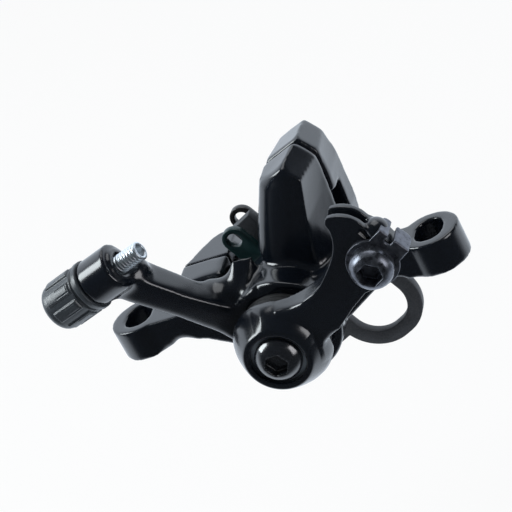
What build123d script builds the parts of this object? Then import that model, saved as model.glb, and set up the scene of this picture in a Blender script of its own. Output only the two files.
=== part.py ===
from build123d import *
import os
from math import cos, pi, radians, sin, sqrt

os.makedirs("parts", exist_ok=True)

# A cable-pulled disc brake caliper for a post mount. Lengths are in millimetres, angles
# in degrees. The origin lies midway between the two mount holes, on the plane that the
# ears sit on. +X runs along the holes, +Y inboard, +Z away from the wheel's axle.

# Mount ears
mount_spacing = 74.0
mount_slot_width = 6.5
mount_slot_length = 8.5
ear_thickness = 8.2
ear_radius = 7.0
ear_link_front = 6.0
ear_link_back = 4.2
ear_link_rise = 2.0
ear_link_arch = 0.1
ear_link_drop = 5.0

# Piston axis, rotor and the slot that the rotor runs in
piston_height = -0.4
rotor_radius = 80.0
rotor_edge_room = 3.0
pad_depth = 12.0
pad_tilt = 25.0
joint_depth = 7.3
slot_width = 5.6

# Pads
pad_half_width = 12.5
pad_top = 9.5
pad_bottom = 9.0
pad_corner = 3.0
plate_thickness = 1.8
lining_thickness = 1.8
lining_inset = 1.5
tab_reach = 19.4
tab_radius = 3.0
tab_hole_radius = 1.75
pad_gap = 1.25
pad_clearance = 0.2
pocket_floor_gap = 0.25
yoke_wall = 3.0

# Transport spacer
tongue_thickness = 1.4
spacer_thickness = 2.6
tongue_half_width = 7.0
tongue_over = 1.5
spacer_tip_reach = 20.5
spacer_tip_width = 6.5
spacer_tip_shift = 1.75
loop_width = 14.8
loop_height = 15.0
loop_corner = 6.6
loop_ring = 3.6
loop_shift = 7.5
loop_drop = 16.0

# Yoke, hump and shoulder
yoke_front = 1.0
yoke_corner = 4.0
hump_width = 19.0
hump_height = 36.0
hump_front = 3.5
inboard_depth = 18.5
shoulder_left = 24.2
shoulder_end = 22.0
shoulder_right = 12.5
shoulder_top = 13.2
shoulder_bottom = 4.2

# Drum and ball ramp
drum_radius = 12.7
drum_front = 11.0
drum_edge = 0.8
bore_radius = 10.2
foot_radius = 10.15
foot_length = 3.8
foot_nose_radius = 7.0
foot_nose_step = 1.2
thrust_gap = 0.05
ramp_radius = 9.9
ramp_thickness = 3.0
ramp_gap = 2.8
ball_radius = 2.0
ball_circle_radius = 7.4
ball_count = 3
track_clearance = 0.04
arm_swing = 45.0
cage_thickness = 1.0
cage_inner = 5.08
cage_outer = 9.8
shaft_radius = 5.0
shaft_clearance = 0.05
bushing_wall = 0.8
bushing_inset = 0.6
seat_clearance = 0.03
seal_inner = 5.4
seal_outer = 10.3
seal_rest_gap = 1.3
seal_groove = 0.5

# Actuator arm
hub_back = 15.5
hub_front = 22.8
hub_radius = 11.4
hub_ring_radius = 8.0
hub_shoulder = 2.0
recess_radius = 6.4
recess_depth = 1.5
hex_width = 8.4
arm_reach = 34.1
arm_angle = 28.2
arm_front = 20.5
arm_thickness = 5.6
arm_edge = 0.5
cable_groove_width = 2.2
cable_groove_depth = 2.0
wire_groove_radius = 0.85
wire_groove_reach = 38.3
wire_groove_top = 7.0

# Screws of the arm
pivot_thread_radius = 3.0
pivot_thread_length = 9.0
pivot_head_radius = 5.45
pivot_head_height = 3.3
pivot_dome = 1.1
pivot_socket = 5.0
pivot_socket_depth = 2.0
washer_thickness = 0.6
clamp_thread_radius = 3.0
clamp_head_radius = 4.9
clamp_head_height = 4.5
clamp_head_edge = 1.1
clamp_socket = 5.0
clamp_socket_depth = 3.0
clamp_tail = 1.0
clamp_plate_thickness = 1.0
clamp_plate_radius = 5.9
clamp_tab_width = 8.0
clamp_tab_top = 4.2
clamp_tab_length = 5.0
clamp_tab_thickness = 1.0
clamp_tab_corner = 1.6
clamp_fork_width = 1.5
clamp_fork_depth = 1.8
clamp_fork_top = 1.8

# Return spring
return_wire = 1.0
return_coil_radius = 7.8
return_pitch = 1.5
return_quarter_turns = 7
return_start = 0.7
pocket_inner = 6.3
pocket_outer = 9.2
pocket_depth = 3.9

# Cable stop and barrel adjuster
barrel_x = -29.2
barrel_height = 30.5
barrel_depth = 17.5
barrel_angle = 17.4
stop_boss_radius = 5.6
stop_boss_length = 8.2
stop_boss_edge = 0.9
stop_lip_radius = 4.0
stop_lip_length = 0.8
stop_width = 8.4
stop_thickness = 9.0
stop_angle = 37.7
screw_radius = 2.25
screw_clearance = 0.04
screw_bore_radius = 1.4
screw_out = 6.7
screw_pitch = 0.8
thread_depth = 0.35
screw_slot = 0.9
knob_radius = 5.6
knob_length = 12.0
knob_gap = 0.2
knob_edge = 1.6
rib_height = 0.45
rib_width = 2.0
rib_count = 8
rib_end = 2.2
knob_collar = 1.5
housing_radius = 2.55
housing_depth = 5.6
detent_radius = 4.2
detent_depth = 3.7
barrel_wire = 0.7
barrel_coil_radius = 3.4
barrel_spring_pitch = 1.2
barrel_quarter_turns = 9
barrel_spring_gap = 0.6

# Inboard pad adjuster
adjuster_radius = 9.25
adjuster_clearance = 0.05
carrier_thickness = 2.0
adjuster_out = 1.6
adjuster_head_radius = 8.4
adjuster_head = 1.6
adjuster_socket = 6.0
adjuster_socket_depth = 3.0
adjuster_boss_radius = 12.0
adjuster_boss = 3.6
ring_width = 1.3
ring_depth = 1.0
ring_from_end = 3.0

# Body bolts and pad spring
bolt_radius = 2.0
bolt_clearance = 0.2
bolt_head_radius = 3.5
bolt_head_height = 3.8
bolt_counterbore = 4.0
bolt_socket = 3.0
bolt_thread = 8.0
left_bolt_x = -17.0
left_bolt_height = 8.6
right_bolt_x = 11.5
right_bolt_height = 27.6
spring_strip = 0.4
spring_half_width = 9.0
spring_side_gap = 0.15
spring_roof_gap = 0.25
spring_leg_gap = 1.06
spring_leg_width = 2.6

# One overrun serves all cuts
overrun = 1.0

# Depths along the piston axis that follow from the sizes above
slot_back = joint_depth + slot_width
rotor_depth = joint_depth + slot_width / 2
outer_lining_face = rotor_depth - tongue_thickness / 2 - pad_gap
outer_plate_face = outer_lining_face - lining_thickness
outer_plate_back = outer_plate_face - plate_thickness
inner_lining_face = rotor_depth + tongue_thickness / 2 + pad_gap
inner_plate_face = inner_lining_face + lining_thickness
inner_plate_back = inner_plate_face + plate_thickness
outer_floor = outer_plate_back - pocket_floor_gap
inner_floor = inner_plate_back + pocket_floor_gap
foot_back = outer_plate_back - foot_length
moving_ramp_face = foot_back - thrust_gap
moving_ramp_back = moving_ramp_face - ramp_thickness
fixed_ramp_face = moving_ramp_back - ramp_gap
fixed_ramp_back = fixed_ramp_face - ramp_thickness
ball_depth = moving_ramp_back - ramp_gap / 2
track_radius = ball_radius + track_clearance
bushing_radius = shaft_radius + bushing_wall
washer_face = hub_front - recess_depth
roof_radius = rotor_radius + rotor_edge_room
pad_reach = rotor_radius - pad_depth
wheel_x = pad_reach * sin(radians(pad_tilt))
wheel_height = piston_height - pad_reach * cos(radians(pad_tilt))

piston_axis = Axis((0, 0, piston_height), (0, -1, 0))
back_axis = Axis((0, 0, piston_height), (0, 1, 0))
profile_plane = Plane(origin=(0, 0, piston_height), x_dir=(1, 0, 0), z_dir=(0, 0, 1))


def face_at(depth, height=0):
    """Plane across the piston axis at a depth along +Y. Extruding runs outboard."""
    return Plane(origin=(0, depth, height), x_dir=(1, 0, 0), z_dir=(0, -1, 0))


def piston_face(depth):
    """The same plane, centred on the piston axis."""
    return face_at(depth, piston_height)


def turned_face(depth, angle):
    """Plane on the piston axis, turned by an angle about it."""
    return Plane(
        origin=(0, depth, piston_height),
        x_dir=(cos(radians(angle)), 0, sin(radians(angle))),
        z_dir=(0, -1, 0),
    )


def pad_face(depth):
    """Plane whose local y runs out of the wheel, along the pads."""
    return turned_face(depth, pad_tilt)


def arm_face(depth):
    """Plane whose local x runs from the pivot to the cable clamp."""
    return turned_face(depth, arm_angle)


def outline(shares, width, height):
    """Points of an outline from its shares of a width and a height."""
    return [(across * width, up * height) for across, up in shares]


def coil_arcs(plane, radius, pitch, quarter_turns, start):
    """Two tangent arcs for each quarter turn of a coil that climbs along the plane's normal."""
    rise = pitch / (2 * pi * radius)
    steepness = sqrt(1 + rise * rise)
    for quarter in range(quarter_turns):
        points = []
        tangents = []
        for step in (quarter, quarter + 1):
            turn = step * pi / 2
            climb = start + pitch * step / 4
            points.append(plane.from_local_coords(Vector(radius * cos(turn), radius * sin(turn), climb)))
            slope = Vector(-sin(turn) / steepness, cos(turn) / steepness, rise / steepness)
            tangents.append(plane.from_local_coords(slope) - plane.origin)
        chord = points[1] - points[0]
        both = tangents[0] + tangents[1]
        spread = 2 * (1 - tangents[0].dot(tangents[1]))
        along = chord.dot(both)
        reach = (sqrt(along * along + spread * chord.dot(chord)) - along) / spread
        middle = (points[0] + points[1] + (tangents[0] - tangents[1]) * reach) * 0.5
        TangentArc(points[0], middle, tangent=tangents[0])
        turned = (points[1] - tangents[1] * reach) - (points[0] + tangents[0] * reach)
        TangentArc(middle, points[1], tangent=turned)


# The hump leans towards +X. Its shares run from the lower left corner over the ridge.
hump_front_shares = (
    (-0.10, 0.11), (-0.10, 0.43), (0.03, 0.59), (0.32, 0.90), (0.69, 0.98),
    (0.87, 0.865), (0.69, 0.57), (0.585, 0.28), (0.47, 0.0),
)
hump_joint_shares = (
    (-0.16, 0.11), (-0.14, 0.43), (0.02, 0.61), (0.34, 0.915), (0.82, 1.005),
    (1.0, 0.875), (0.99, 0.69), (0.92, 0.36), (0.79, 0.0),
)
hump_back_shares = (
    (-0.16, 0.11), (-0.14, 0.42), (-0.02, 0.63), (0.42, 0.900), (0.81, 0.980),
    (0.96, 0.870), (0.99, 0.69), (0.96, 0.36), (0.84, 0.0),
)

with BuildPart() as front_hump:
    with BuildSketch(piston_face(joint_depth)):
        with BuildLine():
            Polyline(*outline(hump_joint_shares, hump_width, hump_height), close=True)
        make_face()
    with BuildSketch(piston_face(-hump_front)):
        with BuildLine():
            Polyline(*outline(hump_front_shares, hump_width, hump_height), close=True)
        make_face()
    loft(ruled=True)

with BuildPart() as back_hump:
    with BuildSketch(piston_face(joint_depth)):
        with BuildLine():
            Polyline(*outline(hump_joint_shares, hump_width, hump_height), close=True)
        make_face()
    with BuildSketch(piston_face(inboard_depth)):
        with BuildLine():
            Polyline(*outline(hump_back_shares, hump_width, hump_height), close=True)
        make_face()
    loft(ruled=True)

# The cable stop's arm runs from the drum's left side up to the barrel's boss.
barrel_way = Vector(cos(radians(barrel_angle)), 0, sin(radians(barrel_angle)))
barrel_up = Vector(-sin(radians(barrel_angle)), 0, cos(radians(barrel_angle)))
barrel_centre = Vector(barrel_x, -barrel_depth, piston_height + barrel_height)


def barrel_plane(along):
    """Plane across the barrel, at a distance from the boss's middle towards the arm."""
    return Plane(origin=barrel_centre + barrel_way * along, x_dir=barrel_up, z_dir=barrel_way)


# Each row: shares of the barrel's x, height and depth, then of the arm's width and thickness.
stop_stations = (
    (0.291, 0.052, 0.371, 1.0, 1.0),
    (0.417, 0.207, 0.371, 1.0, 1.0),
    (0.626, 0.485, 0.600, 0.82, 0.89),
    (0.866, 0.792, 0.771, 0.90, 0.97),
    (0.965, 0.950, 0.900, 0.94, 0.82),
)

with BuildPart() as stop_arm:
    for x_share, height_share, depth_share, width_share, thickness_share in stop_stations:
        station = Plane(
            origin=(x_share * barrel_x, -depth_share * barrel_depth, piston_height + height_share * barrel_height),
            x_dir=(cos(radians(stop_angle)), 0, sin(radians(stop_angle))),
            z_dir=(-sin(radians(stop_angle)), 0, cos(radians(stop_angle))),
        )
        with BuildSketch(station):
            Rectangle(width_share * stop_width, thickness_share * stop_thickness)
    loft(ruled=True)

# The outboard half carries the drum, the ears and the cable stop. It is cast in one.
pocket_half_width = pad_half_width + pad_clearance
pocket_top = pad_top + pad_clearance
yoke_half_width = pocket_half_width + yoke_wall
yoke_top = pocket_top + yoke_wall
yoke_bottom = pad_bottom + 2 * pad_clearance
window_left = -tab_radius - 7 * pad_clearance
window_right = spacer_tip_shift + spacer_tip_width / 2 + 2 * pad_clearance
left_link_x = -mount_spacing / 2
right_link_x = mount_spacing / 2


front_shoulder = (
    (-shoulder_left, joint_depth),
    (-shoulder_left, yoke_front),
    (-shoulder_end, -yoke_front),
    (-shoulder_right, -yoke_front),
    (-shoulder_right, joint_depth),
)
# Shares of the shoulder's width and of the inboard half's depth, round its far corner.
back_shoulder_shares = ((1.0, 0.0), (0.87, 0.22), (0.72, 0.56), (0.52, 0.88), (0.36, 1.0), (0.0, 1.0), (0.0, 0.0))
back_shoulder = [
    (
        -shoulder_right - across * (shoulder_left - shoulder_right),
        joint_depth + inward * (inboard_depth - joint_depth),
    )
    for across, inward in back_shoulder_shares
]


def ear_link(side):
    """Side view of the web that joins an ear to the yoke, thinner than the ear."""
    hole_x = side * mount_spacing / 2
    edge_x = side * (mount_spacing / 2 - ear_radius)
    body_x = side * shoulder_right
    return [
        (hole_x, ear_thickness),
        (hole_x, 0),
        (edge_x, ear_link_rise / 4),
        (edge_x - side * ear_link_rise, ear_link_rise),
        ((edge_x + body_x) / 2, ear_link_arch),
        (body_x, -ear_link_drop),
        (0, -ear_link_drop),
        (0, ear_thickness),
    ]


with BuildPart() as outboard_body:
    with BuildSketch(pad_face(joint_depth)):
        with Locations((0, (yoke_top - yoke_bottom) / 2)):
            RectangleRounded(2 * yoke_half_width, yoke_top + yoke_bottom, yoke_corner)
    extrude(amount=joint_depth + yoke_front)
    with BuildSketch(Plane.XY.offset(shoulder_bottom)):
        with BuildLine():
            Polyline(*front_shoulder, close=True)
        make_face()
    extrude(amount=shoulder_top - shoulder_bottom)
    add(front_hump.part)
    with BuildSketch(piston_face(joint_depth)):
        Circle(drum_radius)
    extrude(amount=joint_depth + drum_front)
    fillet(
        outboard_body.faces().sort_by(Axis.Y)[0].edges().filter_by(GeomType.CIRCLE),
        drum_edge,
    )
    for side in (-1, 1):
        with BuildSketch(face_at(ear_link_back)):
            with BuildLine():
                Polyline(*ear_link(side), close=True)
            make_face()
        extrude(amount=ear_link_front + ear_link_back)
    with BuildSketch(Plane.XY):
        with Locations((left_link_x, 0), (right_link_x, 0)):
            Circle(ear_radius)
    extrude(amount=ear_thickness)
    add(stop_arm.part)
    with BuildSketch(barrel_plane(-stop_boss_length / 2)):
        Circle(stop_boss_radius)
    extrude(amount=stop_boss_length)
    with BuildSketch(barrel_plane(stop_boss_length / 2)):
        Circle(stop_lip_radius)
    extrude(amount=stop_lip_length)
    # the ramp's bore, the shaft's hole and the pad's pocket with its open end and window
    with BuildSketch(piston_face(joint_depth + overrun)):
        Circle(bore_radius)
    extrude(amount=joint_depth + overrun - fixed_ramp_back, mode=Mode.SUBTRACT)
    with BuildSketch(piston_face(fixed_ramp_back + overrun)):
        Circle(bushing_radius + seat_clearance)
    extrude(amount=fixed_ramp_back + overrun + drum_front + overrun, mode=Mode.SUBTRACT)
    with BuildSketch(pad_face(joint_depth + overrun)):
        with Locations((0, pocket_top)):
            Rectangle(2 * pocket_half_width, 4 * pad_half_width, align=(Align.CENTER, Align.MAX))
        with Locations((window_left, pocket_top - overrun)):
            Rectangle(window_right - window_left, tab_reach, align=(Align.MIN, Align.MIN))
    extrude(amount=joint_depth + overrun - outer_floor, mode=Mode.SUBTRACT)
    # slotted mount holes, body bolt threads and the barrel's thread
    with BuildSketch(Plane.XY.offset(-overrun)):
        with Locations((left_link_x, 0), (right_link_x, 0)):
            SlotOverall(mount_slot_length, mount_slot_width, rotation=90)
    extrude(amount=ear_thickness + 2 * overrun, mode=Mode.SUBTRACT)
    with BuildSketch(piston_face(joint_depth + overrun)):
        with Locations((left_bolt_x, left_bolt_height), (right_bolt_x, right_bolt_height)):
            Circle(bolt_radius + seat_clearance)
    extrude(amount=overrun + bolt_thread, mode=Mode.SUBTRACT)
    with BuildSketch(barrel_plane(-stop_boss_length / 2 - overrun)):
        Circle(screw_radius + screw_clearance)
    extrude(amount=stop_boss_length + stop_lip_length + 2 * overrun, mode=Mode.SUBTRACT)
outboard_body.part.label = "outboard_body"

# The inboard half bridges over the rotor's edge and holds the adjustable pad.
with BuildPart() as inboard_body:
    with BuildSketch(pad_face(inboard_depth)):
        with Locations((0, (yoke_top - yoke_bottom) / 2)):
            RectangleRounded(2 * yoke_half_width, yoke_top + yoke_bottom, yoke_corner)
    extrude(amount=inboard_depth - joint_depth)
    with BuildSketch(Plane.XY.offset(shoulder_bottom)):
        with BuildLine():
            Polyline(*back_shoulder, close=True)
        make_face()
    extrude(amount=shoulder_top - shoulder_bottom)
    add(back_hump.part)
    with BuildSketch(piston_face(inboard_depth + adjuster_boss)):
        Circle(adjuster_boss_radius)
    extrude(amount=adjuster_boss + inboard_depth - slot_back)
    with BuildSketch(face_at(slot_back)):
        with Locations((wheel_x, wheel_height)):
            Circle(roof_radius)
    extrude(amount=slot_width + overrun, mode=Mode.SUBTRACT)
    with BuildSketch(pad_face(inner_floor)):
        with Locations((0, pocket_top)):
            Rectangle(2 * pocket_half_width, 4 * pad_half_width, align=(Align.CENTER, Align.MAX))
        with Locations((window_left, pocket_top - overrun)):
            Rectangle(window_right - window_left, tab_reach, align=(Align.MIN, Align.MIN))
    extrude(amount=inner_floor - joint_depth + overrun, mode=Mode.SUBTRACT)
    with BuildSketch(piston_face(inboard_depth + adjuster_boss + overrun)):
        Circle(adjuster_radius + adjuster_clearance)
    extrude(amount=adjuster_boss + inboard_depth + overrun - slot_back, mode=Mode.SUBTRACT)
    with BuildSketch(piston_face(inboard_depth + overrun)):
        with Locations((left_bolt_x, left_bolt_height), (right_bolt_x, right_bolt_height)):
            Circle(bolt_radius + bolt_clearance)
    extrude(amount=inboard_depth - joint_depth + 2 * overrun, mode=Mode.SUBTRACT)
    with BuildSketch(piston_face(inboard_depth + overrun)):
        with Locations((left_bolt_x, left_bolt_height), (right_bolt_x, right_bolt_height)):
            Circle(bolt_head_radius + bolt_clearance)
    extrude(amount=overrun + bolt_counterbore, mode=Mode.SUBTRACT)
inboard_body.part.label = "inboard_body"

with BuildPart() as body_bolts:
    with BuildSketch(piston_face(inboard_depth - bolt_counterbore)):
        with Locations((left_bolt_x, left_bolt_height), (right_bolt_x, right_bolt_height)):
            Circle(bolt_radius)
    extrude(amount=inboard_depth - bolt_counterbore - joint_depth + bolt_thread - overrun)
    with BuildSketch(piston_face(inboard_depth - bolt_counterbore + bolt_head_height)):
        with Locations((left_bolt_x, left_bolt_height), (right_bolt_x, right_bolt_height)):
            Circle(bolt_head_radius)
    extrude(amount=bolt_head_height)
    with BuildSketch(piston_face(inboard_depth - bolt_counterbore + bolt_head_height)):
        with Locations((left_bolt_x, left_bolt_height), (right_bolt_x, right_bolt_height)):
            RegularPolygon(bolt_socket / 2, 6, major_radius=False)
    extrude(amount=bolt_head_height / 2, mode=Mode.SUBTRACT)
body_bolts.part.label = "body_bolts"

# Ball ramp: two discs with tracks, three balls in a cage, and the shaft that turns one disc.
with BuildPart() as fixed_ramp:
    with BuildSketch(piston_face(fixed_ramp_face)):
        Circle(bore_radius - seat_clearance)
        Circle(bushing_radius + seat_clearance, mode=Mode.SUBTRACT)
    extrude(amount=ramp_thickness)
    for ball in range(ball_count):
        track_start = turned_face(ball_depth, ball * 360 / ball_count)
        with BuildSketch(Plane(origin=track_start.origin, x_dir=track_start.x_dir, z_dir=track_start.y_dir)):
            with Locations((ball_circle_radius, 0)):
                Circle(track_radius)
        revolve(axis=piston_axis, revolution_arc=arm_swing / 2, mode=Mode.SUBTRACT)
        for end in (0, arm_swing / 2):
            with Locations(turned_face(ball_depth, ball * 360 / ball_count + end)):
                with Locations((ball_circle_radius, 0, 0)):
                    Sphere(track_radius, mode=Mode.SUBTRACT)
fixed_ramp.part.label = "fixed_ramp"

with BuildPart() as ramp_shaft:
    with BuildSketch(piston_face(moving_ramp_face)):
        Circle(ramp_radius)
    extrude(amount=ramp_thickness)
    with BuildSketch(piston_face(moving_ramp_back)):
        Circle(shaft_radius)
    extrude(amount=moving_ramp_back + hub_back)
    with BuildSketch(piston_face(-hub_back)):
        RegularPolygon(hex_width / 2 - seat_clearance, 6, major_radius=False)
    extrude(amount=washer_face - washer_thickness - hub_back)
    for ball in range(ball_count):
        track_start = turned_face(ball_depth, ball * 360 / ball_count)
        with BuildSketch(Plane(origin=track_start.origin, x_dir=track_start.x_dir, z_dir=track_start.y_dir)):
            with Locations((ball_circle_radius, 0)):
                Circle(track_radius)
        revolve(axis=back_axis, revolution_arc=arm_swing / 2, mode=Mode.SUBTRACT)
        for end in (0, -arm_swing / 2):
            with Locations(turned_face(ball_depth, ball * 360 / ball_count + end)):
                with Locations((ball_circle_radius, 0, 0)):
                    Sphere(track_radius, mode=Mode.SUBTRACT)
    with BuildSketch(piston_face(pivot_thread_length - washer_face)):
        Circle(pivot_thread_radius + seat_clearance)
    extrude(amount=pivot_thread_length + overrun, mode=Mode.SUBTRACT)
ramp_shaft.part.label = "ramp_shaft"

with BuildPart() as ramp_balls:
    for ball in range(ball_count):
        with Locations(turned_face(ball_depth, ball * 360 / ball_count)):
            with Locations((ball_circle_radius, 0, 0)):
                Sphere(ball_radius)
ramp_balls.part.label = "ramp_balls"

with BuildPart() as ball_cage:
    with BuildSketch(piston_face(ball_depth + cage_thickness / 2)):
        Circle(cage_outer)
        Circle(cage_inner, mode=Mode.SUBTRACT)
        with PolarLocations(ball_circle_radius, ball_count):
            Circle(track_radius, mode=Mode.SUBTRACT)
    extrude(amount=cage_thickness)
ball_cage.part.label = "ball_cage"

with BuildPart() as shaft_bushing:
    with BuildSketch(piston_face(fixed_ramp_face - bushing_inset)):
        Circle(bushing_radius)
        Circle(shaft_radius + shaft_clearance, mode=Mode.SUBTRACT)
    extrude(amount=fixed_ramp_face - bushing_inset + drum_front)
shaft_bushing.part.label = "shaft_bushing"

# The rubber seal fills the gap between drum and hub, with room for the arm to move inboard.
arm_back = min(hub_back, arm_front - arm_thickness)
seal_length = arm_back - drum_front - seal_rest_gap
with BuildPart() as dust_seal:
    with BuildSketch(profile_plane):
        with BuildLine():
            Polyline(
                (seal_inner, -drum_front),
                (seal_outer, -drum_front),
                (seal_outer, -drum_front - seal_length / 3),
                (seal_outer - seal_groove, -drum_front - seal_length / 2),
                (seal_outer, -drum_front - seal_length * 2 / 3),
                (seal_outer - seal_groove, -drum_front - seal_length),
                (seal_inner, -drum_front - seal_length),
                close=True,
            )
        make_face()
    revolve(axis=piston_axis)
dust_seal.part.label = "dust_seal"

with BuildPart() as pressure_foot:
    with BuildSketch(piston_face(outer_plate_back - foot_nose_step)):
        Circle(foot_radius)
    extrude(amount=foot_length - foot_nose_step)
    with BuildSketch(piston_face(outer_plate_back)):
        Circle(foot_nose_radius)
    extrude(amount=foot_nose_step)
pressure_foot.part.label = "pressure_foot"

# Actuator arm: shares of the reach, along it and to its left, from the hub round the head.
arm_right_shares = ((0.10, -0.162), (0.435, -0.160), (0.625, -0.126), (0.775, -0.112))
arm_head_shares = ((0.875, -0.150), (1.03, -0.165), (1.15, -0.075), (1.185, 0.05))
arm_sector_shares = ((1.162, 0.195), (1.152, 0.300), (1.040, 0.416))
arm_left_shares = ((1.000, 0.392), (0.955, 0.300), (0.885, 0.238), (0.760, 0.178), (0.620, 0.137), (0.25, 0.10))

with BuildPart() as actuator_arm:
    with BuildSketch(profile_plane):
        with BuildLine():
            Line((0, -hub_back), (hub_radius, -hub_back))
            Line((hub_radius, -hub_back), (hub_radius, -hub_back - hub_shoulder))
            ThreePointArc(
                (hub_radius, -hub_back - hub_shoulder),
                (
                    hub_ring_radius + (hub_radius - hub_ring_radius) * 0.66,
                    -hub_front + (hub_front - hub_back - hub_shoulder) * 0.45,
                ),
                (hub_ring_radius, -hub_front),
            )
            Line((hub_ring_radius, -hub_front), (0, -hub_front))
            Line((0, -hub_front), (0, -hub_back))
        make_face()
    revolve(axis=piston_axis)
    with BuildSketch(arm_face(arm_thickness - arm_front)):
        with BuildLine():
            Polyline(*outline(arm_right_shares, arm_reach, arm_reach))
            Spline(*outline(arm_right_shares[-1:] + arm_head_shares + arm_sector_shares[:1], arm_reach, arm_reach))
            ThreePointArc(*outline(arm_sector_shares, arm_reach, arm_reach))
            Line(*outline(arm_sector_shares[-1:] + arm_left_shares[:1], arm_reach, arm_reach))
            Spline(*outline(arm_left_shares, arm_reach, arm_reach))
            Line(*outline(arm_left_shares[-1:] + arm_right_shares[:1], arm_reach, arm_reach))
        make_face()
    extrude(amount=arm_thickness)
    # cable groove along the sector
    sector_middle = arm_front - arm_thickness / 2
    with BuildSketch(arm_face(cable_groove_width / 2 - sector_middle)):
        with BuildLine():
            ThreePointArc(*outline(arm_sector_shares, arm_reach, arm_reach))
            Line(
                outline(arm_sector_shares[-1:], arm_reach, arm_reach)[0],
                (arm_sector_shares[-1][0] * arm_reach + 2 * overrun, arm_sector_shares[-1][1] * arm_reach + 2 * overrun),
            )
            Line(
                (arm_sector_shares[-1][0] * arm_reach + 2 * overrun, arm_sector_shares[-1][1] * arm_reach + 2 * overrun),
                (arm_sector_shares[0][0] * arm_reach + 3 * overrun, arm_sector_shares[0][1] * arm_reach + 2 * overrun),
            )
            Line(
                (arm_sector_shares[0][0] * arm_reach + 3 * overrun, arm_sector_shares[0][1] * arm_reach + 2 * overrun),
                outline(arm_sector_shares[:1], arm_reach, arm_reach)[0],
            )
        make_face()
        offset(amount=cable_groove_depth)
    extrude(amount=cable_groove_width, mode=Mode.SUBTRACT)
    # hub: recess for the bolt's head, hexagon for the shaft, pocket for the return spring
    with BuildSketch(piston_face(-washer_face + washer_thickness)):
        Circle(recess_radius)
    extrude(amount=washer_face, mode=Mode.SUBTRACT)
    with BuildSketch(piston_face(-hub_back + overrun)):
        RegularPolygon(hex_width / 2, 6, major_radius=False)
    extrude(amount=hub_front - hub_back + 2 * overrun, mode=Mode.SUBTRACT)
    with BuildSketch(piston_face(-hub_back + overrun)):
        Circle(pocket_outer)
        Circle(pocket_inner, mode=Mode.SUBTRACT)
    extrude(amount=pocket_depth + overrun, mode=Mode.SUBTRACT)
    # half-round groove for the wire under the clamp plate
    with BuildSketch(Plane(origin=arm_face(-arm_front).origin, x_dir=arm_face(0).x_dir, z_dir=arm_face(0).y_dir)):
        with Locations((wire_groove_reach, 0)):
            Circle(wire_groove_radius)
    extrude(amount=wire_groove_top, both=True, mode=Mode.SUBTRACT)
    # hole of the cable clamp bolt
    with BuildSketch(arm_face(overrun + arm_thickness - arm_front)):
        with Locations((arm_reach, 0)):
            Circle(clamp_thread_radius + seat_clearance)
    extrude(amount=arm_thickness + 2 * overrun, mode=Mode.SUBTRACT)
actuator_arm.part.label = "actuator_arm"

with BuildPart() as arm_washer:
    with BuildSketch(piston_face(-washer_face + washer_thickness)):
        Circle(recess_radius - seat_clearance)
        Circle(pivot_thread_radius + seat_clearance, mode=Mode.SUBTRACT)
    extrude(amount=washer_thickness)
arm_washer.part.label = "arm_washer"

with BuildPart() as pivot_bolt:
    with BuildSketch(profile_plane):
        with BuildLine():
            Line((0, pivot_thread_length - washer_face), (pivot_thread_radius, pivot_thread_length - washer_face))
            Line((pivot_thread_radius, pivot_thread_length - washer_face), (pivot_thread_radius, -washer_face))
            Line((pivot_thread_radius, -washer_face), (pivot_head_radius, -washer_face))
            Line((pivot_head_radius, -washer_face), (pivot_head_radius, pivot_dome - washer_face - pivot_head_height))
            ThreePointArc(
                (pivot_head_radius, pivot_dome - washer_face - pivot_head_height),
                (pivot_head_radius * 0.8, pivot_dome * 0.4 - washer_face - pivot_head_height),
                (pivot_head_radius * 0.5, -washer_face - pivot_head_height),
            )
            Line((pivot_head_radius * 0.5, -washer_face - pivot_head_height), (0, -washer_face - pivot_head_height))
            Line((0, -washer_face - pivot_head_height), (0, pivot_thread_length - washer_face))
        make_face()
    revolve(axis=piston_axis)
    with BuildSketch(piston_face(pivot_socket_depth - washer_face - pivot_head_height)):
        RegularPolygon(pivot_socket / 2, 6, major_radius=False)
    extrude(amount=pivot_socket_depth + overrun, mode=Mode.SUBTRACT)
pivot_bolt.part.label = "pivot_bolt"

clamp_seat = arm_front + clamp_plate_thickness
with BuildPart() as cable_clamp_bolt:
    with BuildSketch(arm_face(clamp_tail + arm_thickness - arm_front)):
        with Locations((arm_reach, 0)):
            Circle(clamp_thread_radius)
    extrude(amount=clamp_tail + arm_thickness + clamp_plate_thickness)
    with BuildSketch(arm_face(-clamp_seat)):
        with Locations((arm_reach, 0)):
            Circle(clamp_head_radius)
    extrude(amount=clamp_head_height)
    fillet(
        cable_clamp_bolt.faces().sort_by(Axis.Y)[0].edges().filter_by(GeomType.CIRCLE),
        clamp_head_edge,
    )
    with BuildSketch(arm_face(clamp_socket_depth - clamp_seat - clamp_head_height)):
        with Locations((arm_reach, 0)):
            RegularPolygon(clamp_socket / 2, 6, major_radius=False)
    extrude(amount=clamp_socket_depth + overrun, mode=Mode.SUBTRACT)
cable_clamp_bolt.part.label = "cable_clamp_bolt"

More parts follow.
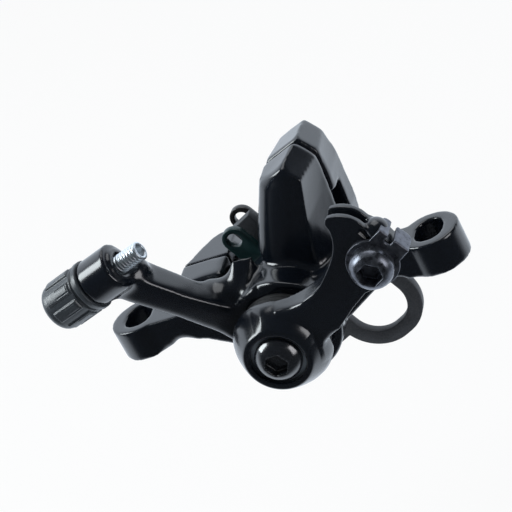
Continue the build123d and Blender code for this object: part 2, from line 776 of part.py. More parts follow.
# The plate lies on the arm and folds back over its end, which keeps it from turning.
tab_start = arm_reach * arm_head_shares[-1][0] + seat_clearance + arm_edge
with BuildPart() as cable_clamp_plate:
    with BuildSketch(arm_face(-arm_front)):
        with Locations((arm_reach, 0)):
            Circle(clamp_plate_radius)
        with Locations((arm_reach, clamp_tab_top - clamp_tab_width)):
            Rectangle(
                tab_start + clamp_tab_thickness - arm_reach, clamp_tab_width, align=(Align.MIN, Align.MIN)
            )
    extrude(amount=clamp_plate_thickness)
    with BuildSketch(arm_face(clamp_tab_length - arm_front)):
        with Locations((tab_start, clamp_tab_top - clamp_tab_width)):
            Rectangle(clamp_tab_thickness, clamp_tab_width, align=(Align.MIN, Align.MIN))
    extrude(amount=clamp_tab_length + clamp_plate_thickness)
    tab_edges = cable_clamp_plate.edges().filter_by(Axis(tuple(Vector()), tuple(arm_face(0).x_dir)))
    fillet(tab_edges.sort_by(Axis.Y)[-2:], radius=clamp_tab_corner)
    with BuildSketch(arm_face(clamp_tab_length + overrun - arm_front)):
        with Locations((tab_start - clamp_fork_depth + clamp_tab_thickness, clamp_fork_top - clamp_fork_width)):
            Rectangle(clamp_fork_depth + overrun, clamp_fork_width, align=(Align.MIN, Align.MIN))
    extrude(amount=clamp_tab_length + clamp_plate_thickness + 2 * overrun, mode=Mode.SUBTRACT)
    with BuildSketch(arm_face(-arm_front + overrun)):
        with Locations((arm_reach, 0)):
            Circle(clamp_thread_radius + seat_clearance)
    extrude(amount=clamp_plate_thickness + 2 * overrun, mode=Mode.SUBTRACT)
cable_clamp_plate.part.label = "cable_clamp_plate"

# The return spring is wound from round wire and lies in the hub's pocket.
return_plane = piston_face(-hub_back)
with BuildPart() as return_spring:
    with BuildLine() as return_path:
        coil_arcs(return_plane, return_coil_radius, return_pitch, return_quarter_turns, return_start)
    with BuildSketch(Plane(origin=return_path.wire() @ 0, z_dir=return_path.wire() % 0)):
        Circle(return_wire / 2)
    sweep(path=return_path.wire())
return_spring.part.label = "return_spring"
print("return spring, gap between turns", round(return_pitch - return_wire, 3))


with BuildPart() as outboard_pad_plate:
    with BuildSketch(pad_face(outer_plate_face)):
        with Locations((0, (pad_top - pad_bottom) / 2)):
            RectangleRounded(2 * pad_half_width, pad_top + pad_bottom, pad_corner)
        with Locations((0, pad_top - pad_corner)):
            Rectangle(2 * tab_radius, tab_reach - pad_top + pad_corner, align=(Align.CENTER, Align.MIN))
        with Locations((0, tab_reach)):
            Circle(tab_radius)
            Circle(tab_hole_radius, mode=Mode.SUBTRACT)
    extrude(amount=plate_thickness)
outboard_pad_plate.part.label = "outboard_pad_plate"

with BuildPart() as inboard_pad_plate:
    with BuildSketch(pad_face(inner_plate_back)):
        with Locations((0, (pad_top - pad_bottom) / 2)):
            RectangleRounded(2 * pad_half_width, pad_top + pad_bottom, pad_corner)
        with Locations((0, pad_top - pad_corner)):
            Rectangle(2 * tab_radius, tab_reach - pad_top + pad_corner, align=(Align.CENTER, Align.MIN))
        with Locations((0, tab_reach)):
            Circle(tab_radius)
            Circle(tab_hole_radius, mode=Mode.SUBTRACT)
    extrude(amount=plate_thickness)
inboard_pad_plate.part.label = "inboard_pad_plate"

lining_width = 2 * (pad_half_width - lining_inset)
lining_height = pad_top + pad_bottom - 2 * lining_inset
with BuildPart() as outboard_pad_lining:
    with BuildSketch(pad_face(outer_lining_face)):
        with Locations((0, (pad_top - pad_bottom) / 2)):
            RectangleRounded(lining_width, lining_height, pad_corner)
    extrude(amount=lining_thickness)
outboard_pad_lining.part.label = "outboard_pad_lining"

with BuildPart() as inboard_pad_lining:
    with BuildSketch(pad_face(inner_plate_face)):
        with Locations((0, (pad_top - pad_bottom) / 2)):
            RectangleRounded(lining_width, lining_height, pad_corner)
    extrude(amount=lining_thickness)
inboard_pad_lining.part.label = "inboard_pad_lining"

# The transport spacer stands where the rotor goes: a thicker tip and loop, joined by a thin
# tongue, which with the loop's own thin web goes between the linings.
loop_centre = (loop_shift, -loop_drop)
tongue_end = pad_bottom + lining_inset + tongue_over
with BuildPart() as pad_spacer:
    with BuildSketch(pad_face(rotor_depth + spacer_thickness / 2)):
        with Locations(loop_centre):
            RectangleRounded(loop_width + 2 * loop_ring, loop_height + 2 * loop_ring, loop_corner + loop_ring)
        with Locations((-tongue_half_width, -tongue_end)):
            Rectangle(2 * tongue_half_width, tongue_end / 2, align=(Align.MIN, Align.MAX))
        with Locations((0, -tongue_end)):
            Rectangle(2 * pocket_half_width, pad_half_width, align=(Align.CENTER, Align.MIN), mode=Mode.SUBTRACT)
        with Locations((spacer_tip_shift, pad_top)):
            Rectangle(spacer_tip_width, spacer_tip_reach - pad_top, align=(Align.CENTER, Align.MIN))
    extrude(amount=spacer_thickness)
    with BuildSketch(pad_face(rotor_depth + tongue_thickness / 2)):
        with Locations((0, pad_top)):
            Rectangle(2 * tongue_half_width, pad_top + tongue_end + overrun, align=(Align.CENTER, Align.MAX))
        with Locations(loop_centre):
            RectangleRounded(loop_width + 2 * loop_ring, loop_height + 2 * loop_ring, loop_corner + loop_ring)
    extrude(amount=tongue_thickness)
    with BuildSketch(pad_face(rotor_depth + spacer_thickness)):
        with Locations(loop_centre):
            RectangleRounded(loop_width, loop_height, loop_corner)
    extrude(amount=2 * spacer_thickness, mode=Mode.SUBTRACT)
pad_spacer.part.label = "pad_spacer"

# The pad spring is a sheet steel frame under the bridge, with four legs beside the pads.
spring_outer = joint_depth + spring_side_gap
spring_inner = slot_back - spring_side_gap
spring_top = sqrt(roof_radius**2 - spring_half_width**2) - pad_reach - spring_roof_gap
spring_leg = spring_top - (pad_top - lining_inset) - spring_leg_gap
with BuildPart() as pad_spring:
    with BuildSketch(pad_face(spring_inner)):
        with Locations((0, spring_top)):
            Rectangle(2 * spring_half_width, spring_strip, align=(Align.CENTER, Align.MAX))
    extrude(amount=spring_inner - spring_outer)
    with BuildSketch(pad_face(rotor_depth + spacer_thickness)):
        with Locations((spacer_tip_shift, spring_top)):
            Rectangle(spacer_tip_width + 2 * spring_strip, 4 * spring_strip)
    extrude(amount=2 * spacer_thickness, mode=Mode.SUBTRACT)
    for leg_side in (spring_outer + spring_strip, spring_inner):
        with BuildSketch(pad_face(leg_side)):
            with Locations(
                (-spring_half_width + spring_leg_width / 2, spring_top),
                (spring_half_width - spring_leg_width / 2, spring_top),
            ):
                Rectangle(spring_leg_width, spring_leg, align=(Align.CENTER, Align.MAX))
        extrude(amount=spring_strip)
pad_spring.part.label = "pad_spring"

# Inboard side: a carrier pushes the pad, and a threaded plug pushes the carrier.
carrier_back = inner_plate_back + carrier_thickness
with BuildPart() as pad_carrier:
    with BuildSketch(piston_face(carrier_back)):
        Circle(adjuster_radius)
    extrude(amount=carrier_thickness)
pad_carrier.part.label = "pad_carrier"

adjuster_start = carrier_back + thrust_gap
adjuster_end = inboard_depth + adjuster_boss + adjuster_out
adjuster_length = adjuster_end - adjuster_start
ring_centre = adjuster_end - ring_from_end
with BuildPart() as pad_adjuster:
    with BuildSketch(piston_face(adjuster_end)):
        Circle(adjuster_radius)
    extrude(amount=adjuster_length)
    with BuildSketch(piston_face(adjuster_end + adjuster_head)):
        Circle(adjuster_head_radius)
    extrude(amount=adjuster_head)
    with BuildSketch(piston_face(adjuster_end + adjuster_head)):
        RegularPolygon(adjuster_socket / 2, 6, major_radius=False)
    extrude(amount=adjuster_socket_depth, mode=Mode.SUBTRACT)
    with BuildSketch(piston_face(ring_centre + ring_width / 2)):
        Circle(adjuster_radius + overrun)
        Circle(adjuster_radius - ring_depth, mode=Mode.SUBTRACT)
    extrude(amount=ring_width, mode=Mode.SUBTRACT)
pad_adjuster.part.label = "pad_adjuster"

with BuildPart() as adjuster_ring:
    with BuildSketch(piston_face(ring_centre + ring_width / 2 - seat_clearance)):
        Circle(adjuster_radius)
        Circle(adjuster_radius - ring_depth + seat_clearance, mode=Mode.SUBTRACT)
    extrude(amount=ring_width - 2 * seat_clearance)
adjuster_ring.part.label = "adjuster_ring"

# Barrel adjuster: a hollow slotted screw, its knob and the spring between knob and boss.
screw_tip = stop_boss_length / 2 + screw_out
knob_start = -stop_boss_length / 2 - knob_gap
knob_end = knob_start - knob_length
screw_end = knob_end + housing_depth
thread_start = stop_boss_length / 2 + stop_lip_length + screw_pitch
thread_turns = int((screw_tip - thread_start) / screw_pitch)
barrel_axis = Axis(barrel_centre, barrel_way)
barrel_profile = Plane(origin=barrel_centre, x_dir=barrel_up, z_dir=(0, 1, 0))


def along_barrel(radius, along):
    """Point of the barrel's profile, from its radius and its place along the axis."""
    return barrel_profile.to_local_coords(barrel_centre + barrel_up * radius + barrel_way * along)


with BuildPart() as barrel_screw:
    with BuildSketch(barrel_plane(screw_end)):
        Circle(screw_radius)
    extrude(amount=screw_tip - screw_end)
    # rings stand in for the visible turns of the thread
    for turn in range(thread_turns):
        ring_at = thread_start + (turn + 0.5) * screw_pitch
        with BuildSketch(barrel_profile):
            with BuildLine():
                Polyline(
                    along_barrel(screw_radius + thread_depth, ring_at - screw_pitch),
                    along_barrel(screw_radius - thread_depth, ring_at),
                    along_barrel(screw_radius + thread_depth, ring_at + screw_pitch),
                    close=True,
                )
            make_face()
        revolve(axis=barrel_axis, mode=Mode.SUBTRACT)
    with BuildSketch(barrel_plane(screw_end - overrun)):
        Circle(screw_bore_radius)
    extrude(amount=screw_tip - screw_end + 2 * overrun, mode=Mode.SUBTRACT)
    with BuildSketch(barrel_plane(-stop_boss_length / 2)):
        Rectangle(2 * screw_radius, screw_slot, align=(Align.MIN, Align.CENTER))
    extrude(amount=screw_tip + stop_boss_length / 2 + overrun, mode=Mode.SUBTRACT)
barrel_screw.part.label = "barrel_screw"

with BuildPart() as barrel_knob:
    with BuildSketch(barrel_plane(knob_end)):
        Circle(knob_radius)
    extrude(amount=knob_length)
    fillet(barrel_knob.edges().filter_by(GeomType.CIRCLE).sort_by(Axis.X)[0], knob_edge)
    with BuildSketch(barrel_plane(knob_start)):
        Circle(knob_radius + rib_height / 2)
    extrude(amount=-knob_collar)
    with BuildSketch(barrel_plane(knob_end + rib_end)):
        with PolarLocations(0, rib_count):
            Rectangle(knob_radius + rib_height, rib_width, align=(Align.MIN, Align.CENTER))
    extrude(amount=knob_length - rib_end)
    with BuildSketch(barrel_plane(knob_start + overrun)):
        Circle(detent_radius)
    extrude(amount=-detent_depth - overrun, mode=Mode.SUBTRACT)
    with BuildSketch(barrel_plane(knob_start)):
        Circle(screw_radius + seat_clearance)
    extrude(amount=screw_end - knob_start, mode=Mode.SUBTRACT)
    with BuildSketch(barrel_plane(knob_end - overrun)):
        Circle(housing_radius)
    extrude(amount=housing_depth + overrun, mode=Mode.SUBTRACT)
barrel_knob.part.label = "barrel_knob"

with BuildPart() as barrel_spring:
    with BuildLine() as barrel_path:
        coil_arcs(
            barrel_plane(knob_start - detent_depth),
            barrel_coil_radius,
            barrel_spring_pitch,
            barrel_quarter_turns,
            barrel_spring_gap,
        )
    with BuildSketch(Plane(origin=barrel_path.wire() @ 0, z_dir=barrel_path.wire() % 0)):
        Circle(barrel_wire / 2)
    sweep(path=barrel_path.wire())
barrel_spring.part.label = "barrel_spring"
print("barrel spring, gap between turns", round(barrel_spring_pitch - barrel_wire, 3))

pieces = (
    outboard_body, inboard_body, body_bolts, fixed_ramp, ramp_shaft, ramp_balls, ball_cage,
    shaft_bushing, dust_seal, pressure_foot, actuator_arm, arm_washer, pivot_bolt,
    cable_clamp_bolt, cable_clamp_plate, return_spring, outboard_pad_plate,
    inboard_pad_plate, outboard_pad_lining, inboard_pad_lining, pad_spacer, pad_spring,
    pad_carrier, pad_adjuster, adjuster_ring, barrel_screw, barrel_knob, barrel_spring,
)
for piece in pieces:
    export_step(piece.part, f"parts/{piece.part.label}.step")
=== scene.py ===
from math import atan2, cos, pi, radians, sin

import bmesh
import bpy
from mathutils import Matrix, Vector


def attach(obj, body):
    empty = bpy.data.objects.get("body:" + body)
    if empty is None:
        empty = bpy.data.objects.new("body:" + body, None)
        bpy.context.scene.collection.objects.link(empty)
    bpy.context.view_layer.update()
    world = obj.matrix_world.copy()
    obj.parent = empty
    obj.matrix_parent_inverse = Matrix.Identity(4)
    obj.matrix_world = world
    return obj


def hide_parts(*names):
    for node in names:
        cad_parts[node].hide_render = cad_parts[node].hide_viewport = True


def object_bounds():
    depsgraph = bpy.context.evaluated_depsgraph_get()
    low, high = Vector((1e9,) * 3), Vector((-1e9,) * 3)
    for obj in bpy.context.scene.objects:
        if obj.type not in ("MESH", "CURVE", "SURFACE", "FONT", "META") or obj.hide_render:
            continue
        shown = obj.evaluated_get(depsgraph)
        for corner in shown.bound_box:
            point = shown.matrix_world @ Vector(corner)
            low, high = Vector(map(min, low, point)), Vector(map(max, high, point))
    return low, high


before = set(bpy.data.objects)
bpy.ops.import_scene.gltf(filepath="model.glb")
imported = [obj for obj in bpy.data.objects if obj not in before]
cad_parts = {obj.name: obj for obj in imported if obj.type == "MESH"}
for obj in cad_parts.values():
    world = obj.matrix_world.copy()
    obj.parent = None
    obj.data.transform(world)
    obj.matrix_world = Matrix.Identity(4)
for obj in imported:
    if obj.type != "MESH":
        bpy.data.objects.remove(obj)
cad_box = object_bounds()
scene = bpy.context.scene
scene.view_settings.view_transform = "Standard"
mm = 0.001


# Camera
# The photograph was taken from half a metre away, above the arm's side and to its right,
# with the camera rolled so that the caliper leans to the left.
camera_azimuth = radians(24.9)
camera_elevation = radians(26.0)
camera_roll = radians(28.3)
camera_distance = 500 * mm
camera_shift = (-5.3 * mm, 3.93 * mm)
camera_lens = 154.5
camera_sensor = 36
camera_clip_share = 50
aim_height = 8.2 * mm

backwards = Vector(
    (
        sin(camera_azimuth) * cos(camera_elevation),
        -cos(camera_azimuth) * cos(camera_elevation),
        sin(camera_elevation),
    )
)
level_right = (-backwards).cross(Vector((0, 0, 1))).normalized()
level_up = backwards.cross(level_right)
camera_right = cos(camera_roll) * level_right - sin(camera_roll) * level_up
camera_up = sin(camera_roll) * level_right + cos(camera_roll) * level_up

camera = bpy.data.objects.new("camera", bpy.data.cameras.new("camera"))
scene.collection.objects.link(camera)
scene.camera = camera
camera.data.lens = camera_lens
camera.data.sensor_width = camera_sensor
camera.data.clip_start = camera_distance / camera_clip_share
camera.data.clip_end = camera_distance * camera_clip_share
camera.matrix_world = Matrix.Translation(
    camera_right * camera_shift[0]
    + camera_up * camera_shift[1]
    + backwards * camera_distance
    + Vector((0, 0, aim_height))
) @ Matrix((camera_right, camera_up, backwards)).transposed().to_4x4()


# Studio
# A white room, dark behind the camera, with a large soft lamp up on the left and a weaker
# one on the right. Gloss paint shows it as black fronts, grey tops and bright edges.
room_colour = (0.82, 0.9, 1.0)
room_light = 1.3
room_dark = 0.05
room_turn = (-0.42, 0.1)
floor_drop = 46 * mm
floor_size = 4.0
floor_grey = 0.8
floor_roughness = 0.9
floor_glow_share = 0.9


def add_node(tree, kind, values=None):
    """A shader node of a kind, with plain values for some of its inputs."""
    node = tree.nodes.new("ShaderNode" + kind)
    for name, value in (values or {}).items():
        node.inputs[name].default_value = value
    return node


world = bpy.data.worlds.new("room")
scene.world = world
world.use_nodes = True
room = world.node_tree
room.nodes.clear()
room_output = add_node(room, "OutputWorld")
room_mix = add_node(room, "MixShader")
room_white = add_node(room, "Background", {"Color": (1, 1, 1, 1), "Strength": 1})
room_shade = add_node(room, "Background", {"Color": (*room_colour, 1)})
room_way = add_node(room, "TexCoord")
room_facing = add_node(room, "VectorMath", {1: backwards})
room_facing.operation = "DOT_PRODUCT"
room_ramp = add_node(room, "MapRange", {"From Min": room_turn[0], "From Max": room_turn[1]})
room_ramp.interpolation_type = "SMOOTHSTEP"
room_ramp.inputs["To Min"].default_value = room_light
room_ramp.inputs["To Max"].default_value = room_dark
room_ray = add_node(room, "LightPath")
room.links.new(room_way.outputs["Generated"], room_facing.inputs[0])
room.links.new(room_facing.outputs["Value"], room_ramp.inputs["Value"])
room.links.new(room_ramp.outputs["Result"], room_shade.inputs["Strength"])
room.links.new(room_ray.outputs["Is Camera Ray"], room_mix.inputs["Fac"])
room.links.new(room_shade.outputs["Background"], room_mix.inputs[1])
room.links.new(room_white.outputs["Background"], room_mix.inputs[2])
room.links.new(room_mix.outputs["Shader"], room_output.inputs["Surface"])

# each lamp: name, direction, distance, width, height, power, colour
lamps = (
    ("lamp_left", (-0.73, -0.14, 0.67), 0.8, 0.34, 0.5, 5.0, (0.9, 0.97, 1.0)),
    ("lamp_right", (0.93, -0.3, 0.1), 0.8, 0.3, 0.5, 1.6, (0.97, 0.97, 1.0)),
    ("lamp_top", (0.2, 0.35, 0.9), 0.9, 0.6, 0.6, 1.8, (0.94, 0.97, 1.0)),
)
for lamp_name, way, distance, width, height, power, colour in lamps:
    lamp = bpy.data.objects.new(lamp_name, bpy.data.lights.new(lamp_name, "AREA"))
    scene.collection.objects.link(lamp)
    lamp.data.shape = "RECTANGLE"
    lamp.data.size = width
    lamp.data.size_y = height
    lamp.data.energy = power
    lamp.data.color = colour
    lamp.location = Vector(way).normalized() * distance
    lamp.rotation_mode = "QUATERNION"
    lamp.rotation_quaternion = Vector(way).to_track_quat("Z", "Y")

floor_mesh = bpy.data.meshes.new("floor")
floor_shape = bmesh.new()
bmesh.ops.create_grid(floor_shape, x_segments=1, y_segments=1, size=floor_size / 2)
floor_shape.to_mesh(floor_mesh)
floor_shape.free()
floor = bpy.data.objects.new("floor", floor_mesh)
scene.collection.objects.link(floor)
floor.location.z = cad_box[0].z - floor_drop

# the camera sees the floor white with a faint shadow, and mirrored rays pass through it
floor_white = bpy.data.materials.new("floor_white")
floor_white.use_nodes = True
floor_nodes = floor_white.node_tree
floor_shader = floor_nodes.nodes["Principled BSDF"]
floor_shader.inputs["Base Color"].default_value = (floor_grey, floor_grey, floor_grey, 1)
floor_shader.inputs["Roughness"].default_value = floor_roughness
floor_shader.inputs["Specular IOR Level"].default_value = 0
floor_glow = add_node(floor_nodes, "Emission")
floor_clear = add_node(floor_nodes, "BsdfTransparent")
floor_seen = add_node(floor_nodes, "MixShader")
floor_mirrored = add_node(floor_nodes, "MixShader")
floor_ray = add_node(floor_nodes, "LightPath")
floor_share = add_node(floor_nodes, "Math", {1: floor_glow_share})
floor_share.operation = "MULTIPLY"
floor_output = floor_nodes.nodes["Material Output"]
floor_nodes.links.new(floor_ray.outputs["Is Camera Ray"], floor_share.inputs[0])
floor_nodes.links.new(floor_share.outputs["Value"], floor_seen.inputs["Fac"])
floor_nodes.links.new(floor_shader.outputs["BSDF"], floor_seen.inputs[1])
floor_nodes.links.new(floor_glow.outputs["Emission"], floor_seen.inputs[2])
floor_nodes.links.new(floor_ray.outputs["Is Glossy Ray"], floor_mirrored.inputs["Fac"])
floor_nodes.links.new(floor_seen.outputs["Shader"], floor_mirrored.inputs[1])
floor_nodes.links.new(floor_clear.outputs["BSDF"], floor_mirrored.inputs[2])
floor_nodes.links.new(floor_mirrored.outputs["Shader"], floor_output.inputs["Surface"])
floor.data.materials.append(floor_white)


# Castings: the two halves of the body
# Cast in aluminium, machined at the joint and the bores, and painted gloss black, so every
# edge and corner is softly rounded and the paint has a faint orange peel.
weld_distance = 0.002 * mm
flat_angle = radians(1)
smooth_factor = 0.5
soft_full_share = 0.5
lump_rounds = 4

# the joint line: its depth in Y, how far from it the edges are soft and its outline, in mm
joint_depth = 7.3
joint_reach = 1.9
joint_outline = (
    (-2.0, 16.6),
    (0.4, 21.5),
    (6.4, 32.5),
    (15.6, 35.8),
    (19.0, 31.1),
    (18.8, 24.5),
    (17.4, 12.5),
)

outboard_skin = 0.335 * mm
outboard_rounds = 11
outboard_soft_rounds = 112
stop_swell = Vector((-23.6, -14.0, 27.0)) * mm
stop_swell_radii = (2.6 * mm, 3.6 * mm, 2.9 * mm)
stop_web_steps = 12

# each rim of the web: its depth in Y, its curved edge in X and Z and its other corners, in mm
stop_web = (
    (-9.0, ((-16.6, 17.6), (-12.4, 11.6), (-7.4, 11.0)), [(-5.6, 11.6), (-3, 9), (-9, 7)]),
    (-3.0, ((-14.6, 14.4), (-10.8, 12.2), (-8.0, 16.6)), [(-2.6, 15.8), (-3, 9), (-9, 7)]),
)

# the front panel's left edge in X and Z, in mm, and how the panel curves back towards it
panel_edge = ((-2.1, 10.0), (-2.1, 15.1), (1.0, 22.0), (6.2, 32.2))
panel_foot = panel_edge[0][1] * mm
panel_back = 1.0 * mm
panel_fade = 3.0 * mm
panel_reach = 7.5 * mm
panel_fall = 2.5 * mm

# each soft line: its two ends and its reach, in mm
outboard_soft = (
    ((-2.1, -3.5, 12.5), (-2.1, -3.5, 15.1), 4.2),
    ((-2.1, -3.5, 15.1), (1.0, -3.5, 22.0), 4.2),
    ((1.0, -3.5, 22.0), (6.2, -3.5, 32.2), 4.2),
    ((6.2, -3.5, 32.2), (12.0, -3.5, 34.5), 3.0),
    ((9.8, 0.0, 9.0), (14.0, 0.0, 10.0), 4.0),
    ((-0.5, -3.8, 12.2), (10.5, -3.8, 10.4), 4.5),
    ((-12.0, -14.0, 8.0), (-12.0, -6.0, 8.0), 5.0),
    ((-25.0, -14.5, 25.5), (-14.0, -11.0, 9.0), 11.0),
    ((-29.0, -6.0, 1.5), (-29.0, 6.0, 1.5), 5.5),
    ((-15.0, -8.0, 14.0), (-12.5, 0.0, 13.0), 8.0),
)

inboard_skin = 0.3 * mm
inboard_rounds = 14
inboard_soft_rounds = 60
inboard_soft = (
    ((15.6, 20.0, 35.8), (19.0, 20.0, 31.1), 5.0),
    ((6.4, 25.8, 32.5), (15.6, 25.8, 35.8), 5.0),
)


def joined_copy(node):
    """A piece with a CAD node's mesh, its loose triangles joined."""
    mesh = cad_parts[node].data.copy()
    mesh.materials.clear()
    piece = bpy.data.objects.new(node + "_shown", mesh)
    scene.collection.objects.link(piece)
    loose = bmesh.new()
    loose.from_mesh(mesh)
    bmesh.ops.remove_doubles(loose, verts=loose.verts, dist=weld_distance)
    bmesh.ops.dissolve_limit(loose, angle_limit=flat_angle, verts=loose.verts, edges=loose.edges)
    loose.to_mesh(mesh)
    loose.free()
    return piece


def settle(piece):
    """Turn a piece's modifiers into its plain mesh."""
    graph = bpy.context.evaluated_depsgraph_get()
    shaped = bpy.data.meshes.new_from_object(piece.evaluated_get(graph))
    shaped.name = piece.name
    piece.modifiers.clear()
    piece.data = shaped


def add_lump(piece, place, radii, turn=0.0):
    """An egg-shaped swelling, which the skin then joins to the piece."""
    lump = bmesh.new()
    lump.from_mesh(piece.data)
    shape = Matrix.Translation(place) @ Matrix.Rotation(-turn, 4, "Y") @ Matrix.Diagonal((*radii, 1))
    bmesh.ops.create_icosphere(lump, subdivisions=lump_rounds, radius=1, matrix=shape)
    lump.to_mesh(piece.data)
    lump.free()


def curve(start, bend, end, steps):
    """Places along an arc that starts and ends in the given places and leans to the bend."""
    start, bend, end = Vector(start), Vector(bend), Vector(end)
    places = []
    for step in range(steps + 1):
        share = step / steps
        places.append(start * (1 - share) ** 2 + bend * 2 * share * (1 - share) + end * share**2)
    return places


def add_web(piece, rims, steps):
    """A wedge between two rims, whose curved edges have the given number of steps."""
    web = bmesh.new()
    web.from_mesh(piece.data)
    rings = []
    for depth, edge, corners in rims:
        outline = curve(*edge, steps) + corners
        rings.append([web.verts.new(Vector((x, depth, z)) * mm) for x, z in outline])
    web.faces.new(rings[0])
    web.faces.new(reversed(rings[1]))
    for place in range(len(rings[0])):
        after = (place + 1) % len(rings[0])
        web.faces.new((rings[0][place], rings[1][place], rings[1][after], rings[0][after]))
    bmesh.ops.recalc_face_normals(web, faces=web.faces)
    web.to_mesh(piece.data)
    web.free()


def portion(value, start, end):
    """How far a value has come on its way from start to end, from 0 to 1."""
    return min(max((value - start) / (end - start), 0), 1)


def line_gap(place, start, end):
    """How far a place lies from the line between two others."""
    line = end - start
    along = portion((place - start).dot(line), 0, line.length_squared)
    return (place - start - line * along).length


def weigh(piece, soft_lines):
    """A vertex group, full along the soft lines and fading to nothing at their reach."""
    group = piece.vertex_groups.new(name="near")
    lines = [(Vector(start) * mm, Vector(end) * mm, reach * mm) for start, end, reach in soft_lines]
    for corner in piece.data.vertices:
        share = 0
        for start, end, reach in lines:
            share = max(share, 1 - line_gap(corner.co, start, end) / reach)
        if share > 0:
            group.add([corner.index], min(1, share / soft_full_share), "REPLACE")


def cast_copy(piece, skin, rounds, soft_lines=(), soft_rounds=0):
    """Skin a piece with small squares and smooth it, more so near its soft lines."""
    skinning = piece.modifiers.new("skin", "REMESH")
    skinning.mode = "VOXEL"
    skinning.voxel_size = skin
    settle(piece)
    weigh(piece, soft_lines)
    softening = piece.modifiers.new("soften", "SMOOTH")
    softening.factor = smooth_factor
    softening.iterations = rounds
    near = piece.modifiers.new("soften_near", "SMOOTH")
    near.factor = smooth_factor
    near.iterations = soft_rounds
    near.vertex_group = "near"
    settle(piece)
    piece.vertex_groups.clear()
    piece.data.shade_smooth()


def make_grain_group():
    """Fine unevenness of a surface: a height for bumps and a mask from 0 to 1."""
    group = bpy.data.node_groups.new("grain", "ShaderNodeTree")
    for name, value in (("Scale", 400.0), ("Detail", 3.0), ("Contrast", 0.5)):
        socket = group.interface.new_socket(name=name, in_out="INPUT", socket_type="NodeSocketFloat")
        socket.default_value = value
    for name in ("Height", "Mask"):
        group.interface.new_socket(name=name, in_out="OUTPUT", socket_type="NodeSocketFloat")
    inside = group.nodes.new("NodeGroupInput")
    outside = group.nodes.new("NodeGroupOutput")
    place = add_node(group, "TexCoord")
    noise = add_node(group, "TexNoise")
    spread = add_node(group, "MapRange")
    half = add_node(group, "Math", {1: 0.5})
    half.operation = "MULTIPLY"
    low = add_node(group, "Math", {0: 0.5})
    low.operation = "SUBTRACT"
    high = add_node(group, "Math", {0: 0.5})
    high.operation = "ADD"
    group.links.new(place.outputs["Object"], noise.inputs["Vector"])
    group.links.new(inside.outputs["Scale"], noise.inputs["Scale"])
    group.links.new(inside.outputs["Detail"], noise.inputs["Detail"])
    group.links.new(inside.outputs["Contrast"], half.inputs[0])
    group.links.new(half.outputs["Value"], low.inputs[1])
    group.links.new(half.outputs["Value"], high.inputs[1])
    group.links.new(noise.outputs["Fac"], spread.inputs["Value"])
    group.links.new(low.outputs["Value"], spread.inputs["From Min"])
    group.links.new(high.outputs["Value"], spread.inputs["From Max"])
    group.links.new(noise.outputs["Fac"], outside.inputs["Height"])
    group.links.new(spread.outputs["Result"], outside.inputs["Mask"])
    return group


grain_group = make_grain_group()


def surface(name, colour, roughness, metallic=0.0, ior=1.5):
    """A material with a principled shader and its plain values."""
    material = bpy.data.materials.new(name)
    material.use_nodes = True
    shader = material.node_tree.nodes["Principled BSDF"]
    shader.inputs["Base Color"].default_value = (*colour, 1)
    shader.inputs["Roughness"].default_value = roughness
    shader.inputs["Metallic"].default_value = metallic
    shader.inputs["IOR"].default_value = ior
    return material


def add_grain(material, scale, height, roughness=None, colours=None, detail=3.0, contrast=0.5):
    """Grain as a bump, and where asked as a range of roughness and two colours."""
    tree = material.node_tree
    shader = tree.nodes["Principled BSDF"]
    grain = tree.nodes.new("ShaderNodeGroup")
    grain.node_tree = grain_group
    grain.inputs["Scale"].default_value = scale
    grain.inputs["Detail"].default_value = detail
    grain.inputs["Contrast"].default_value = contrast
    bump = add_node(tree, "Bump", {"Strength": 1, "Distance": height})
    tree.links.new(grain.outputs["Height"], bump.inputs["Height"])
    tree.links.new(bump.outputs["Normal"], shader.inputs["Normal"])
    if roughness:
        spread = add_node(tree, "MapRange", {"To Min": roughness[0], "To Max": roughness[1]})
        tree.links.new(grain.outputs["Mask"], spread.inputs["Value"])
        tree.links.new(spread.outputs["Result"], shader.inputs["Roughness"])
    if colours:
        blend = tree.nodes.new("ShaderNodeMix")
        blend.data_type = "RGBA"
        blend.inputs["A"].default_value = (*colours[0], 1)
        blend.inputs["B"].default_value = (*colours[1], 1)
        tree.links.new(grain.outputs["Mask"], blend.inputs["Factor"])
        tree.links.new(blend.outputs["Result"], shader.inputs["Base Color"])


cast_black = surface("cast_black", colour=(0.006, 0.0085, 0.0135), roughness=0.17, ior=1.7)
add_grain(cast_black, scale=420, height=0.005 * mm, roughness=(0.15, 0.2))

# the rounded edges on both sides of the joint leave a groove there
joint_soft = tuple(
    ((start[0], joint_depth, start[1]), (end[0], joint_depth, end[1]), joint_reach)
    for start, end in zip(joint_outline, joint_outline[1:])
)

# the cable stop's arm swells out at its boss, and a web joins it to the hump
outboard_shown = joined_copy("outboard_body")
add_lump(outboard_shown, stop_swell, stop_swell_radii)
add_web(outboard_shown, stop_web, stop_web_steps)
cast_copy(
    outboard_shown, outboard_skin, outboard_rounds, outboard_soft + joint_soft, outboard_soft_rounds
)

# the front panel curves back towards its left edge
panel_places = [Vector(place) * mm for place in panel_edge]
for corner in outboard_shown.data.vertices:
    fade = portion(corner.co.z, panel_foot, panel_foot + panel_fade)
    fade *= portion(corner.co.y, panel_back, panel_back - panel_fade)
    if fade == 0:
        continue
    place = Vector((corner.co.x, corner.co.z))
    gap = min(line_gap(place, start, end) for start, end in zip(panel_places, panel_places[1:]))
    corner.co.y += panel_fall * fade * (1 - portion(gap, 0, panel_reach)) ** 2
outboard_shown.data.materials.append(cast_black)
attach(outboard_shown, "root")
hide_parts("outboard_body")

inboard_shown = joined_copy("inboard_body")
cast_copy(
    inboard_shown, inboard_skin, inboard_rounds, inboard_soft + joint_soft, inboard_soft_rounds
)
inboard_shown.data.materials.append(cast_black)
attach(inboard_shown, "root")
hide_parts("inboard_body")


